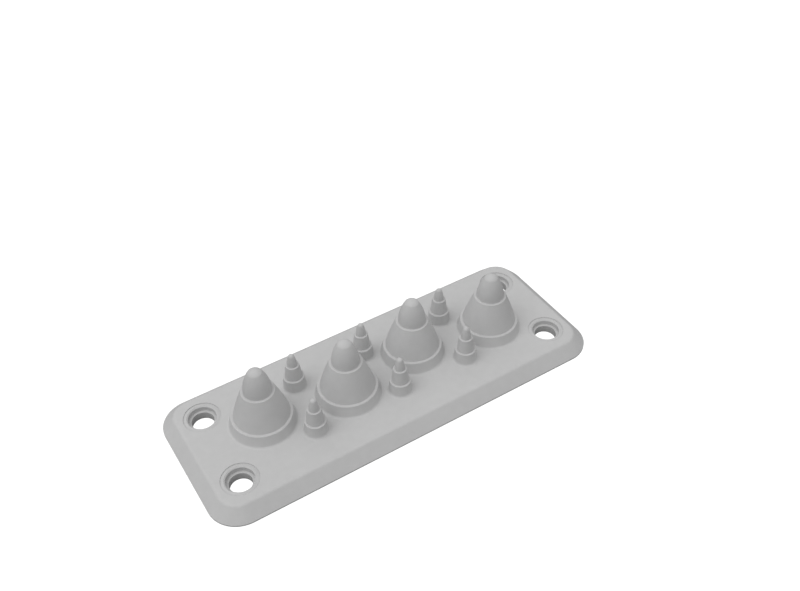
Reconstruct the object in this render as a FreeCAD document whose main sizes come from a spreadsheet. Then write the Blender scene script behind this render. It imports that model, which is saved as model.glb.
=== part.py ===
import FreeCAD, Part

import math
import os
import Sketcher

# A moulded cable entry plate: one piece of grey elastomer. It stands on its flat
# underside, +Z up, long side along X, with the origin at the middle of that underside.

doc = FreeCAD.newDocument("cable_entry_plate")
V = FreeCAD.Vector

# Driving dimensions, in millimetres.
SIZES = {
    # plate
    "plate_length": 157.4,
    "plate_width": 61.0,
    "plate_height": 5.3,
    "corner_radius": 11.5,
    "skirt_inset": 4.6,
    "skirt_foot": 0.6,
    "top_edge_round": 1.8,
    # screw holes
    "screw_spacing_long": 130.0,
    "screw_spacing_short": 32.0,
    "bore_radius": 4.1,
    "counterbore_radius": 5.1,
    "bore_height": 3.1,
    "lip_bevel": 0.4,
    "lip_crest_radius": 5.6,
    "lip_dish_radius": 6.8,
    "lip_dish_depth": 0.35,
    # large cones: place, from the middle of the plate
    "large_outer_place": 47.4,
    "large_inner_place": 15.4,
    "large_stagger": 2.4,
    # large cones: outside
    "large_mouth_radius": 14.0,
    "large_collar_radius": 12.2,
    "large_foot_round": 0.9,
    "large_ring_radius": 11.15,
    "large_ring_height": 10.0,
    "large_ring_ledge": 1.0,
    "large_bow": 90.0,
    "large_neck_radius": 6.1,
    "large_neck_height": 21.9,
    "large_neck_ledge": 0.95,
    "large_nose_bow": 18.0,
    "large_nose_radius": 2.5,
    "large_nose_height": 30.6,
    "large_tip_height": 31.7,
    "large_edge_round": 0.3,
    # small cones: place, from the middle of the plate
    "small_far_place": 33.4,
    "small_near_place": 30.1,
    "small_middle_place": 1.4,
    "small_row": 11.4,
    # small cones: outside
    "small_mouth_radius": 5.3,
    "small_collar_radius": 4.3,
    "small_foot_round": 1.0,
    "small_ring_radius": 3.95,
    "small_ring_height": 10.6,
    "small_ring_ledge": 0.75,
    "small_bow": 80.0,
    "small_neck_radius": 2.55,
    "small_neck_height": 16.4,
    "small_neck_ledge": 0.65,
    "small_nose_bow": 14.0,
    "small_nose_radius": 1.2,
    "small_nose_height": 20.4,
    "small_tip_height": 21.4,
    "small_edge_round": 0.2,
    # membrane
    "large_wall": 0.95,
    "small_wall": 0.8,
    "rim_height": 2.6,
    # underside: sunk rings round the cone mouths
    "moat_width": 1.7,
    "moat_slope": 0.7,
    "moat_depth": 1.3,
    # underside: lines and sealing bead, measured inwards from the plate edge
    "land_width": 1.35,
    "line_start": 1.7,
    "line_end": 2.0,
    "line_depth": 0.45,
    "bead_start": 2.3,
    "bead_crown_start": 3.8,
    "bead_crown_end": 4.4,
    "bead_end": 5.8,
    "bead_shoulder": 0.25,
    "bead_bow": 6.0,
    "valley_start": 6.3,
    "valley_end": 7.1,
    "valley_depth": 0.55,
    "valley_rise": 0.6,
    # underside: field contour that swings round the screw holes
    "field_inset_long": 7.9,
    "field_inset_short": 7.0,
    "scallop_radius": 8.3,
    "scallop_blend": 4.0,
    "contour_half": 0.75,
    "contour_floor_half": 0.25,
    "contour_depth": 0.5,
    # underside: blind pins
    "pin_radius": 0.8,
    "pin_depth": 3.2,
    "pin_row": 21.3,
    "pin_far": 39.0,
    "pin_near": 13.0,
    "pin_end_place": 67.3,
    "pin_gap": 1.2,
    # how far a cut reaches past the face it starts from
    "reach": 1.0,
}

# Sizes that follow from the ones above.
DERIVED = {
    "half_length": "plate_length / 2",
    "half_width": "plate_width / 2",
    "skirt_height": "plate_height - skirt_foot",
    "skirt_angle": "-atan(skirt_inset / skirt_height)",
    "screw_x": "screw_spacing_long / 2",
    "screw_y": "screw_spacing_short / 2",
    "field_x": "half_length - field_inset_long",
    "field_y": "half_width - field_inset_short",
    "swing": "scallop_radius + scallop_blend",
    "swing_share": "scallop_radius / swing",
    "blend_x": "field_x - scallop_blend",
    "blend_y": "field_y - scallop_blend",
    "swing_x": "screw_x - sqrt(swing ^ 2 - (blend_y - screw_y) ^ 2)",
    "swing_y": "screw_y - sqrt(swing ^ 2 - (blend_x - screw_x) ^ 2)",
    "join_long_x": "screw_x + (swing_x - screw_x) * swing_share",
    "join_long_y": "screw_y + (blend_y - screw_y) * swing_share",
    "join_short_x": "screw_x + (blend_x - screw_x) * swing_share",
    "join_short_y": "screw_y + (swing_y - screw_y) * swing_share",
}
for size in ("large", "small"):
    for name, formula in {
        "nose_drop": "S_tip_height - S_nose_height",
        "cap_radius": "(S_nose_radius ^ 2 + S_nose_drop ^ 2) / (2 * S_nose_drop)",
        "pin_reach": "S_mouth_radius + pin_gap",
        "inner_tip": "S_tip_height - S_wall",
        "inner_mouth": "S_mouth_radius - S_wall",
        "inner_collar": "S_collar_radius - S_wall",
        "inner_ring": "S_ring_radius - S_ring_ledge - S_wall",
        "inner_neck": "S_neck_radius - S_neck_ledge - S_wall",
        "inner_nose": "S_nose_radius - S_wall",
        "inner_nose_height": "S_nose_height - S_wall / 2",
        "inner_drop": "S_nose_drop - S_wall / 2",
        "inner_cap": "(S_inner_nose ^ 2 + S_inner_drop ^ 2) / (2 * S_inner_drop)",
        "moat_outside": "S_mouth_radius + moat_width",
        "moat_inside": "S_mouth_radius + moat_width - moat_slope",
    }.items():
        DERIVED[size + "_" + name] = formula.replace("S_", size + "_")

sheet = doc.addObject("Spreadsheet::Sheet", "Sizes")
cells = {alias: str(number) for alias, number in SIZES.items()}
cells.update((alias, "=" + formula) for alias, formula in DERIVED.items())
for row, (alias, content) in enumerate(cells.items(), start=1):
    sheet.set("A%d" % row, alias)
    sheet.set("B%d" % row, content)
    sheet.setAlias("B%d" % row, alias)
doc.recompute()

# Prefixes that keep or flip the sign of an expression.
SIGNS = ("", "-1 * ")

body = doc.addObject("PartDesign::Body", "EntryPlate")
body.Label = "entry_plate"


def origin_part(role):
    """Origin plane or axis of the body, by its role."""
    for feature in body.Origin.OriginFeatures:
        if feature.Role == role:
            return feature
    raise ValueError("no origin feature " + role)


def sized(text):
    """The expression text, with each size name pointed at the sheet."""
    words = []
    for word in text.split():
        words.append("Sizes." + word if word in SIZES or word in DERIVED else word)
    return " ".join(words)


def value(text):
    """Number that an expression over the sheet gives, in millimetres."""
    result = sheet.evalExpression(sized(text))
    return float(getattr(result, "Value", result))


def bind(feature, prop, text):
    feature.setExpression(prop, sized(text))


def new_sketch(name, role, offset=None):
    """A sketch on an origin plane, its origin moved along the sketch's own axes."""
    sketch = body.newObject("Sketcher::SketchObject", name)
    sketch.AttachmentSupport = (origin_part(role), [""])
    sketch.MapMode = "FlatFace"
    for axis, text in (offset or {}).items():
        bind(sketch, ".AttachmentOffset.Base." + axis, text)
    doc.recompute()
    return sketch


def pin_point(sketch, geo, pos, across, up):
    """Fix one sketch point at two expressions, measured from the sketch origin."""
    for kind, text, axis in (("DistanceX", across, -2), ("DistanceY", up, -1)):
        if text == "0":
            sketch.addConstraint(Sketcher.Constraint("PointOnObject", geo, pos, axis))
            continue
        constraint = Sketcher.Constraint(kind, -1, 1, geo, pos, value(text))
        index = sketch.addConstraint(constraint)
        bind(sketch, "Constraints[%d]" % index, text)


def bowed(start, end, radius):
    """Arc from start to end, anticlockwise, that bows to the right of its way."""
    chord = end - start
    side = V(-chord.y, chord.x, 0).normalize()
    reach = math.sqrt(max(radius ** 2 - (chord.Length / 2) ** 2, 0.0))
    centre = (start + end) * 0.5 + side * reach
    first = math.atan2(start.y - centre.y, start.x - centre.x)
    last = math.atan2(end.y - centre.y, end.x - centre.x)
    if last < first:
        last += 2 * math.pi
    return Part.ArcOfCircle(Part.Circle(centre, V(0, 0, 1), radius), first, last)


def outline(sketch, points):
    """Closed anticlockwise outline through points (across, up) or (across, up, bow).

    A bow radius turns the side that leaves its point into an arc, outwards, or
    inwards where the text starts with a minus sign.
    """
    corners = [V(value(point[0]), value(point[1]), 0) for point in points]
    count = len(points)
    base = sketch.GeometryCount
    starts = []
    ends = []
    for i, point in enumerate(points):
        start = corners[i]
        end = corners[(i + 1) % count]
        if len(point) == 2:
            sketch.addGeometry(Part.LineSegment(start, end), False)
            starts.append(1)
            ends.append(2)
            continue
        inward = point[2].startswith("-")
        text = point[2].lstrip("- ")
        arc = bowed(end, start, value(text)) if inward else bowed(start, end, value(text))
        geo = sketch.addGeometry(arc, False)
        index = sketch.addConstraint(Sketcher.Constraint("Radius", geo, value(text)))
        bind(sketch, "Constraints[%d]" % index, text)
        starts.append(2 if inward else 1)
        ends.append(1 if inward else 2)
    for i in range(count):
        after = (i + 1) % count
        joint = Sketcher.Constraint("Coincident", base + i, ends[i], base + after, starts[after])
        sketch.addConstraint(joint)
    for i, point in enumerate(points):
        pin_point(sketch, base + i, starts[i], point[0], point[1])


def circles(sketch, centres, radius):
    """Equal circles at the given (across, up) expressions."""
    first = sketch.GeometryCount
    for across, up in centres:
        centre = V(value(across), value(up), 0)
        geo = sketch.addGeometry(Part.Circle(centre, V(0, 0, 1), value(radius)), False)
        pin_point(sketch, geo, 3, across, up)
        if geo == first:
            index = sketch.addConstraint(Sketcher.Constraint("Radius", geo, value(radius)))
            bind(sketch, "Constraints[%d]" % index, radius)
        else:
            sketch.addConstraint(Sketcher.Constraint("Equal", first, geo))


def edge_points(half_long, half_short, radius):
    """Points of a rounded rectangle, from the middle of its front side."""
    long_in = half_long + " - " + radius
    short_in = half_short + " - " + radius
    return [
        ("0", "-( " + half_short + " )"),
        (long_in, "-( " + half_short + " )", radius),
        (half_long, "-( " + short_in + " )"),
        (half_long, short_in, radius),
        (long_in, half_short),
        ("-( " + long_in + " )", half_short, radius),
        ("-( " + half_long + " )", short_in),
        ("-( " + half_long + " )", "-( " + short_in + " )", radius),
        ("-( " + long_in + " )", "-( " + half_short + " )"),
    ]


def done(feature, *sketches):
    for sketch in sketches:
        sketch.Visibility = False
    doc.recompute()
    if "Invalid" in feature.State or "Error" in feature.State or feature.Shape.isNull():
        raise RuntimeError(feature.Name + " failed: " + str(feature.State))
    print("%-18s volume %.1f" % (feature.Name, body.Shape.Volume))
    return feature


def revolved(kind, name, x, y, points):
    """Revolution or Groove of a profile about the vertical axis at plate X, Y."""
    sketch = new_sketch(name + "Profile", "XZ_Plane", {"x": x, "z": "-( " + y + " )"})
    outline(sketch, points)
    feature = body.newObject("PartDesign::" + kind, name)
    feature.Profile = sketch
    feature.ReferenceAxis = (sketch, ["V_Axis"])
    feature.Angle = 360.0
    return done(feature, sketch)


def turned(name, originals):
    """The given features once more, turned by half a turn about the plate's Z axis."""
    pattern = body.newObject("PartDesign::PolarPattern", name)
    pattern.Originals = originals
    pattern.Axis = (origin_part("Z_Axis"), [""])
    pattern.Angle = 360.0
    pattern.Occurrences = 2
    body.Tip = pattern
    return done(pattern)


def swept(name, path_points, profile_points):
    """Groove that a closed section in the plane X = 0 leaves along a closed path."""
    path = new_sketch(name + "Path", "XY_Plane")
    outline(path, path_points)
    section = new_sketch(name + "Section", "YZ_Plane")
    outline(section, profile_points)
    pipe = body.newObject("PartDesign::SubtractivePipe", name)
    pipe.Profile = section
    pipe.Spine = (path, ["Edge%d" % (i + 1) for i in range(path.GeometryCount)])
    return done(pipe, path, section)


# Plate: a short upright foot, a sloping skirt and a rounded top edge.
foot_sketch = new_sketch("FootOutline", "XY_Plane")
outline(foot_sketch, edge_points("half_length", "half_width", "corner_radius"))
foot = body.newObject("PartDesign::Pad", "Foot")
foot.Profile = foot_sketch
bind(foot, "Length", "skirt_foot")
done(foot, foot_sketch)

skirt_sketch = new_sketch("SkirtOutline", "XY_Plane", {"z": "skirt_foot"})
outline(skirt_sketch, edge_points("half_length", "half_width", "corner_radius"))
skirt = body.newObject("PartDesign::Pad", "Skirt")
skirt.Profile = skirt_sketch
bind(skirt, "Length", "skirt_height")
bind(skirt, "TaperAngle", "skirt_angle")
done(skirt, skirt_sketch)


def flat_edges(shape, height, wanted):
    """Names of the edges that lie flat at a height and pass the wanted test."""
    names = []
    for i, edge in enumerate(shape.Edges, start=1):
        box = edge.BoundBox
        if abs(box.ZMin - height) < 0.001 and abs(box.ZMax - height) < 0.001 and wanted(edge):
            names.append("Edge%d" % i)
    return names


def circle_test(radius):
    def test(edge):
        return isinstance(edge.Curve, Part.Circle) and abs(edge.Curve.Radius - radius) < 0.001
    return test


top_round = body.newObject("PartDesign::Fillet", "TopRound")
top_round.Base = (skirt, flat_edges(skirt.Shape, value("plate_height"), lambda edge: True))
bind(top_round, "Radius", "top_edge_round")
done(top_round)

# Screw holes: bore, counterbore, bevelled lip, and a shallow dish that falls outwards
# from the lip's crest. Two are modelled, and half a turn of the plate gives the others.
HOLE = [
    ("0", "-1 * reach"),
    ("bore_radius", "-1 * reach"),
    ("bore_radius", "bore_height"),
    ("counterbore_radius", "bore_height"),
    ("counterbore_radius", "plate_height - lip_bevel"),
    ("lip_crest_radius", "plate_height"),
    ("lip_dish_radius", "plate_height - lip_dish_depth"),
    ("lip_dish_radius", "plate_height + reach"),
    ("0", "plate_height + reach"),
]
holes = [
    revolved("Groove", "FrontScrewHole", "-1 * screw_x", "-1 * screw_y", HOLE),
    revolved("Groove", "BackScrewHole", "-1 * screw_x", "screw_y", HOLE),
]
turned("ScrewHoleTwins", holes)

# Underside: line and sealing bead along the edge, then the valley inside the bead.
EDGE = edge_points("half_length", "half_width", "corner_radius")


def inward(inset, depth, *bow):
    """Section point at an inset from the front edge and a depth into the underside."""
    return (inset + " - half_width", depth) + bow


swept("BeadOutside", EDGE, [
    inward("land_width", "-1 * reach"),
    inward("bead_crown_start", "-1 * reach"),
    inward("bead_crown_start", "0", "- bead_bow"),
    inward("bead_start", "bead_shoulder"),
    inward("line_end", "line_depth"),
    inward("line_start", "line_depth"),
    inward("land_width", "0"),
])
swept("BeadInside", EDGE, [
    inward("bead_crown_end", "-1 * reach"),
    inward("valley_end + valley_rise", "-1 * reach"),
    inward("valley_end + valley_rise", "0"),
    inward("valley_end", "valley_depth"),
    inward("valley_start", "valley_depth"),
    inward("bead_end", "bead_shoulder", "- bead_bow"),
    inward("bead_crown_end", "0"),
])

# Underside: soft contour of the field, swung round the four screw holes.
def swing_round(across, up):
    """Contour points round the screw hole in the quadrant with these signs."""
    points = [
        (across + "swing_x", up + "field_y"),
        (across + "join_long_x", up + "join_long_y"),
        (across + "join_short_x", up + "join_short_y"),
        (across + "field_x", up + "swing_y"),
    ]
    if across == up:
        points.reverse()
    bows = ("scallop_blend", "- scallop_radius", "scallop_blend")
    return [point + (bow,) for point, bow in zip(points, bows)] + points[3:]


KEEP, FLIP = SIGNS
CONTOUR = [("0", "-1 * field_y")]
for across, up in ((KEEP, FLIP), (KEEP, KEEP), (FLIP, KEEP), (FLIP, FLIP)):
    CONTOUR += swing_round(across, up)

swept("FieldContour", CONTOUR, [
    ("-1 * field_y - contour_half", "-1 * reach"),
    ("-1 * field_y + contour_half", "-1 * reach"),
    ("-1 * field_y + contour_half", "0"),
    ("-1 * field_y + contour_floor_half", "contour_depth"),
    ("-1 * field_y - contour_floor_half", "contour_depth"),
    ("-1 * field_y - contour_half", "0"),
])

# Cones. Each is modelled once, and its twin follows by half a turn of the plate.
CONES = {
    "LargeOuter": ("large", "-1 * large_outer_place", "large_stagger"),
    "LargeInner": ("large", "-1 * large_inner_place", "-1 * large_stagger"),
    "SmallNear": ("small", "-1 * small_near_place", "small_row"),
    "SmallMiddle": ("small", "-1 * small_middle_place", "small_row"),
    "SmallFar": ("small", "small_far_place", "small_row"),
}


def for_size(points, size):
    return [tuple(text.replace("S_", size + "_") for text in point) for point in points]


MOAT = [
    ("0", "-1 * reach"),
    ("S_moat_outside", "-1 * reach"),
    ("S_moat_outside", "0"),
    ("S_moat_inside", "moat_depth"),
    ("0", "moat_depth"),
]
OUTSIDE = [
    ("0", "0"),
    ("S_mouth_radius", "0"),
    ("S_mouth_radius", "rim_height"),
    ("S_collar_radius", "plate_height"),
    ("S_ring_radius", "S_ring_height - S_edge_round", "S_edge_round"),
    ("S_ring_radius - S_edge_round", "S_ring_height"),
    ("S_ring_radius - S_ring_ledge", "S_ring_height", "S_bow"),
    ("S_neck_radius", "S_neck_height - S_edge_round", "S_edge_round"),
    ("S_neck_radius - S_edge_round", "S_neck_height"),
    ("S_neck_radius - S_neck_ledge", "S_neck_height", "S_nose_bow"),
    ("S_nose_radius", "S_nose_height", "S_cap_radius"),
    ("0", "S_tip_height"),
]
INSIDE = [
    ("0", "-1 * reach"),
    ("S_inner_mouth", "-1 * reach"),
    ("S_inner_mouth", "0"),
    ("S_inner_collar", "plate_height"),
    ("S_inner_ring", "S_ring_height", "S_bow"),
    ("S_inner_neck", "S_neck_height", "S_nose_bow"),
    ("S_inner_nose", "S_inner_nose_height", "S_inner_cap"),
    ("0", "S_inner_tip"),
]

for kind, suffix, points in (("Groove", "Moat", MOAT), ("Revolution", "Cone", OUTSIDE)):
    made = []
    for name, (size, x, y) in CONES.items():
        made.append(revolved(kind, name + suffix, x, y, for_size(points, size)))
    turned(suffix + "Twins", made)

foot_base = body.Tip
for size in ("large", "small"):
    blend = body.newObject("PartDesign::Fillet", size.capitalize() + "FootRound")
    blend_test = circle_test(value(size + "_collar_radius"))
    blend.Base = (foot_base, flat_edges(foot_base.Shape, value("plate_height"), blend_test))
    bind(blend, "Radius", size + "_foot_round")
    body.Tip = blend
    foot_base = done(blend)

made = []
for name, (size, x, y) in CONES.items():
    made.append(revolved("Groove", name + "Cavity", x, y, for_size(INSIDE, size)))
turned("CavityTwins", made)

# Underside: blind pins along the field, and one beside each small mouth in the pocket
# that its sunk ring shares with the ring of a large mouth.
PINS = []
for across in SIGNS:
    for up in SIGNS:
        PINS.append((across + "pin_far", up + "pin_row"))
        PINS.append((across + "pin_near", up + "pin_row"))
    PINS.append((across + "pin_end_place", "0"))

OUTER = (("-1 * large_outer_place", "large_stagger"), ("large_outer_place", "-1 * large_stagger"))
INNER = (("-1 * large_inner_place", "-1 * large_stagger"), ("large_inner_place", "large_stagger"))
POCKETS = [
    (OUTER[0], ("-1 * small_near_place", "small_row")),
    (INNER[0], ("-1 * small_middle_place", "small_row")),
    (INNER[1], ("small_far_place", "small_row")),
    (INNER[0], ("-1 * small_far_place", "-1 * small_row")),
    (INNER[1], ("small_middle_place", "-1 * small_row")),
    (OUTER[1], ("small_near_place", "-1 * small_row")),
]


def beside(sketch, large, small):
    """Pin circle at its two distances from a large and a small cone's axis.

    Of the two places that fit, it takes the one with the larger Y.
    """
    start = V(value(large[0]), value(large[1]), 0)
    way = V(value(small[0]), value(small[1]), 0) - start
    far = value("large_pin_reach")
    along = (way.Length ** 2 + far ** 2 - value("small_pin_reach") ** 2) / (2 * way.Length)
    aside = math.sqrt(far ** 2 - along ** 2)
    way.normalize()
    side = V(-way.y, way.x, 0) if way.x > 0 else V(way.y, -way.x, 0)
    centre = start + way * along + side * aside
    pin = sketch.addGeometry(Part.Circle(centre, V(0, 0, 1), value("pin_radius")), False)
    sketch.addConstraint(Sketcher.Constraint("Equal", 0, pin))
    for axis, distance in ((large, "large_pin_reach"), (small, "small_pin_reach")):
        mark = sketch.addGeometry(Part.Point(V(value(axis[0]), value(axis[1]), 0)), True)
        pin_point(sketch, mark, 1, *axis)
        gap = Sketcher.Constraint("Distance", mark, 1, pin, 3, value(distance))
        index = sketch.addConstraint(gap)
        bind(sketch, "Constraints[%d]" % index, distance)


pin_sketch = new_sketch("PinCentres", "XY_Plane")
circles(pin_sketch, PINS, "pin_radius")
for large, small in POCKETS:
    beside(pin_sketch, large, small)
pins = body.newObject("PartDesign::Pocket", "Pins")
pins.Profile = pin_sketch
pins.Reversed = True
bind(pins, "Length", "pin_depth")
done(pins, pin_sketch)

body.Tip = pins
doc.recompute()

for thing in doc.Objects:
    if "Invalid" in thing.State or "Error" in thing.State:
        raise RuntimeError(thing.Name + " is " + str(thing.State))
shape = body.Shape
if shape.isNull() or not shape.isValid() or len(shape.Solids) != 1:
    raise RuntimeError("entry plate: %d solids" % len(shape.Solids))
box = shape.BoundBox
print("size %.2f x %.2f x %.2f" % (box.XLength, box.YLength, box.ZLength))
os.makedirs("parts", exist_ok=True)
shape.exportStep(os.path.join("parts", body.Label + ".step"))
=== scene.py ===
import math

import bpy
from mathutils import Matrix, Vector


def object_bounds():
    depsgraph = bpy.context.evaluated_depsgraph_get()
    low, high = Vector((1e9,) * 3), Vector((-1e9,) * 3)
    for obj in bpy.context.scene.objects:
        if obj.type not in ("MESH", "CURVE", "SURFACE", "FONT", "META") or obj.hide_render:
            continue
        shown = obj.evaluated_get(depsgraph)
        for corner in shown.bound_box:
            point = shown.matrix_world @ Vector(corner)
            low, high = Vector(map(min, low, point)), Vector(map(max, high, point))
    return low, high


# The cable entry plate as the CAD has it, with its elastomer finish, on a white studio
# floor. Metres, degrees and watts.

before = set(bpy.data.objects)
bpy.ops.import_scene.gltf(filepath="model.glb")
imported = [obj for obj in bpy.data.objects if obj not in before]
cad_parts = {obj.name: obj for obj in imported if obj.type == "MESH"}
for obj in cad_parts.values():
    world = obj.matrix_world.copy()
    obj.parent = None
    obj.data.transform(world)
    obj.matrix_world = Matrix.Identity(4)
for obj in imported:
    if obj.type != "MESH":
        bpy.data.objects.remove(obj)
cad_low, cad_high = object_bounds()
scene = bpy.context.scene
scene.view_settings.view_transform = "Standard"
scene.view_settings.look = "None"

# Camera: its place follows the photograph's viewing angle. Reach is where its view
# starts and ends, and the focal length is in pixels of a picture of this width.
CAMERA_AZIMUTH = -31.02
CAMERA_ELEVATION = 42.53
CAMERA_ROLL = -1.60
CAMERA_DISTANCE = 0.37796
CAMERA_TARGET = (0.02826, 0.03180, 0.005)
CAMERA_REACH = (0.01, 20.0)
FOCAL_PIXELS = 932.0
IMAGE_WIDTH = 800
SENSOR_WIDTH = 36.0

# Elastomer: linear greys and roughness between which it drifts, and noise scales, as
# patches in a metre.
TONES = (0.55, 0.60)
TONE_STOPS = (0.3, 0.7)
ROUGHNESS = (0.56, 0.68)
REFRACTION = 1.45
SPECULAR = 0.32
FLOW_SCALE = 22.0
MOTTLE_SCALE = 350.0
MOTTLE_SHARE = 0.4
DRIFT_DETAIL = 3.0
GRAIN_SCALE = 2600.0
GRAIN_DETAIL = 2.0
GRAIN_HEIGHT = 0.00003
GRAIN_STRENGTH = 0.12

# Floor and backdrop: the camera sees both as the same white, bright enough to stay pure
# white when the picture is denoised. The grey is what the plate gets back from the
# floor, which lies just below it.
WHITE = (1, 1, 1, 1)
BACKDROP_GLOW = 1.12
FLOOR_SIZE = 8.0
FLOOR_GAP = 0.00005
FLOOR_GREY = 0.2

# Lights: an even sky and two square lights. The key light stands to the left of the
# camera, by KEY_TURN.
SKY_STRENGTH = 0.584
LIGHT_SIZE = 0.9
LIGHT_DISTANCE = 1.5
OVERHEAD_ELEVATION = 89.9
OVERHEAD_POWER = 2.4
KEY_TURN = 60
KEY_ELEVATION = 60
KEY_POWER = 6.1


def direction(azimuth, elevation):
    """Unit vector towards an azimuth, 0 being -Y and 90 being +X, and an elevation."""
    a, e = math.radians(azimuth), math.radians(elevation)
    return Vector((math.sin(a) * math.cos(e), -math.cos(a) * math.cos(e), math.sin(e)))


def empty_material(name):
    """A material with no nodes, its node tree and the function that links them."""
    material = bpy.data.materials.new(name)
    material.use_nodes = True
    tree = material.node_tree
    tree.nodes.clear()
    return material, tree, tree.links.new


def add_node(tree, kind, across, up):
    """A new node, at this place in the node editor."""
    node = tree.nodes.new(kind)
    node.location = (across, up)
    return node


def add_noise(tree, vector, scale, detail, up):
    """Output of a noise texture, between 0 and 1."""
    noise = add_node(tree, "ShaderNodeTexNoise", -900, up)
    noise.inputs["Scale"].default_value = scale
    noise.inputs["Detail"].default_value = detail
    tree.links.new(vector, noise.inputs["Vector"])
    return noise.outputs["Fac"]


def elastomer():
    """Light grey moulded elastomer: matte, with flow shading, mottle and fine grain."""
    material, tree, link = empty_material("elastomer")
    output = add_node(tree, "ShaderNodeOutputMaterial", 900, 0)
    shader = add_node(tree, "ShaderNodeBsdfPrincipled", 600, 0)
    shader.inputs["IOR"].default_value = REFRACTION
    shader.inputs["Specular IOR Level"].default_value = SPECULAR
    link(shader.outputs["BSDF"], output.inputs["Surface"])
    place = add_node(tree, "ShaderNodeTexCoord", -1200, 0).outputs["Object"]

    # Broad, faint tone changes left by the flow of the material, and a finer mottle.
    flow = add_noise(tree, place, FLOW_SCALE, DRIFT_DETAIL, 400)
    mottle = add_noise(tree, place, MOTTLE_SCALE, DRIFT_DETAIL, 100)
    drift = add_node(tree, "ShaderNodeMix", -600, 250)
    drift.inputs["Factor"].default_value = MOTTLE_SHARE
    link(flow, drift.inputs["A"])
    link(mottle, drift.inputs["B"])
    tone = add_node(tree, "ShaderNodeValToRGB", -300, 250)
    for element, stop, grey in zip(tone.color_ramp.elements, TONE_STOPS, TONES):
        element.position = stop
        element.color = (grey, grey, grey, 1)
    link(drift.outputs["Result"], tone.inputs["Fac"])
    link(tone.outputs["Color"], shader.inputs["Base Color"])

    # Roughness drifts a little with the same changes.
    rough = add_node(tree, "ShaderNodeMapRange", -300, -50)
    rough.inputs["To Min"].default_value = ROUGHNESS[0]
    rough.inputs["To Max"].default_value = ROUGHNESS[1]
    link(drift.outputs["Result"], rough.inputs["Value"])
    link(rough.outputs["Result"], shader.inputs["Roughness"])

    # Fine grain of the mould's spark-eroded face.
    bump = add_node(tree, "ShaderNodeBump", -300, -350)
    bump.inputs["Strength"].default_value = GRAIN_STRENGTH
    bump.inputs["Distance"].default_value = GRAIN_HEIGHT
    grain = add_noise(tree, place, GRAIN_SCALE, GRAIN_DETAIL, -350)
    link(grain, bump.inputs["Height"])
    link(bump.outputs["Normal"], shader.inputs["Normal"])
    return material


def camera_at(azimuth, elevation, roll, distance, target, focal):
    """Camera that looks at target; angles in degrees, focal length in pixels."""
    back = direction(azimuth, elevation)
    right = (-back).cross(Vector((0, 0, 1))).normalized()
    up = right.cross(-back).normalized()
    r = math.radians(roll)
    turned_right = math.cos(r) * right + math.sin(r) * up
    turned_up = -math.sin(r) * right + math.cos(r) * up
    data = bpy.data.cameras.new("camera")
    data.sensor_width = SENSOR_WIDTH
    data.lens = focal * SENSOR_WIDTH / IMAGE_WIDTH
    data.clip_start, data.clip_end = CAMERA_REACH
    camera = bpy.data.objects.new("camera", data)
    scene.collection.objects.link(camera)
    turn = Matrix((turned_right, turned_up, back)).transposed()
    stand = Matrix.Translation(Vector(target) + back * distance)
    camera.matrix_world = stand @ turn.to_4x4()
    return camera


def studio_floor():
    """Floor that the camera sees as even white; the plate gets a soft grey bounce."""
    centre = (0, 0, cad_low[2] - FLOOR_GAP)
    bpy.ops.mesh.primitive_plane_add(size=FLOOR_SIZE, location=centre)
    floor = bpy.context.object
    floor.name = "floor"
    material, tree, link = empty_material("floor")
    output = add_node(tree, "ShaderNodeOutputMaterial", 600, 0)
    bounce = add_node(tree, "ShaderNodeBsdfDiffuse", 0, 0)
    bounce.inputs["Color"].default_value = (FLOOR_GREY, FLOOR_GREY, FLOOR_GREY, 1)
    glow = add_node(tree, "ShaderNodeEmission", 0, -200)
    glow.inputs["Strength"].default_value = BACKDROP_GLOW
    path = add_node(tree, "ShaderNodeLightPath", 0, 400)
    mix = add_node(tree, "ShaderNodeMixShader", 300, 0)
    link(path.outputs["Is Camera Ray"], mix.inputs["Fac"])
    link(bounce.outputs["BSDF"], mix.inputs[1])
    link(glow.outputs["Emission"], mix.inputs[2])
    link(mix.outputs["Shader"], output.inputs["Surface"])
    floor.data.materials.append(material)


def studio_sky():
    """Even white light from all round, in front of the same white as the floor's."""
    world = bpy.data.worlds.new("studio")
    scene.world = world
    world.use_nodes = True
    tree = world.node_tree
    background = tree.nodes["Background"]
    background.inputs["Color"].default_value = WHITE
    path = add_node(tree, "ShaderNodeLightPath", -600, 300)
    strength = add_node(tree, "ShaderNodeMapRange", -300, 300)
    strength.inputs["To Min"].default_value = SKY_STRENGTH
    strength.inputs["To Max"].default_value = BACKDROP_GLOW
    tree.links.new(path.outputs["Is Camera Ray"], strength.inputs["Value"])
    tree.links.new(strength.outputs["Result"], background.inputs["Strength"])


def soft_light(name, azimuth, elevation, power):
    """Square soft light aimed at the plate; azimuth as for the camera."""
    data = bpy.data.lights.new(name, "AREA")
    data.shape = "SQUARE"
    data.size = LIGHT_SIZE
    data.energy = power
    lamp = bpy.data.objects.new(name, data)
    scene.collection.objects.link(lamp)
    lamp.location = LIGHT_DISTANCE * direction(azimuth, elevation)
    lamp.rotation_mode = "QUATERNION"
    lamp.rotation_quaternion = (-lamp.location).to_track_quat("-Z", "Y")


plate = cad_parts["entry_plate"]
plate.data.materials.clear()
plate.data.materials.append(elastomer())

scene.camera = camera_at(
    CAMERA_AZIMUTH,
    CAMERA_ELEVATION,
    CAMERA_ROLL,
    CAMERA_DISTANCE,
    CAMERA_TARGET,
    FOCAL_PIXELS,
)
studio_floor()
studio_sky()
soft_light("overhead", CAMERA_AZIMUTH, OVERHEAD_ELEVATION, OVERHEAD_POWER)
soft_light("key", CAMERA_AZIMUTH - KEY_TURN, KEY_ELEVATION, KEY_POWER)
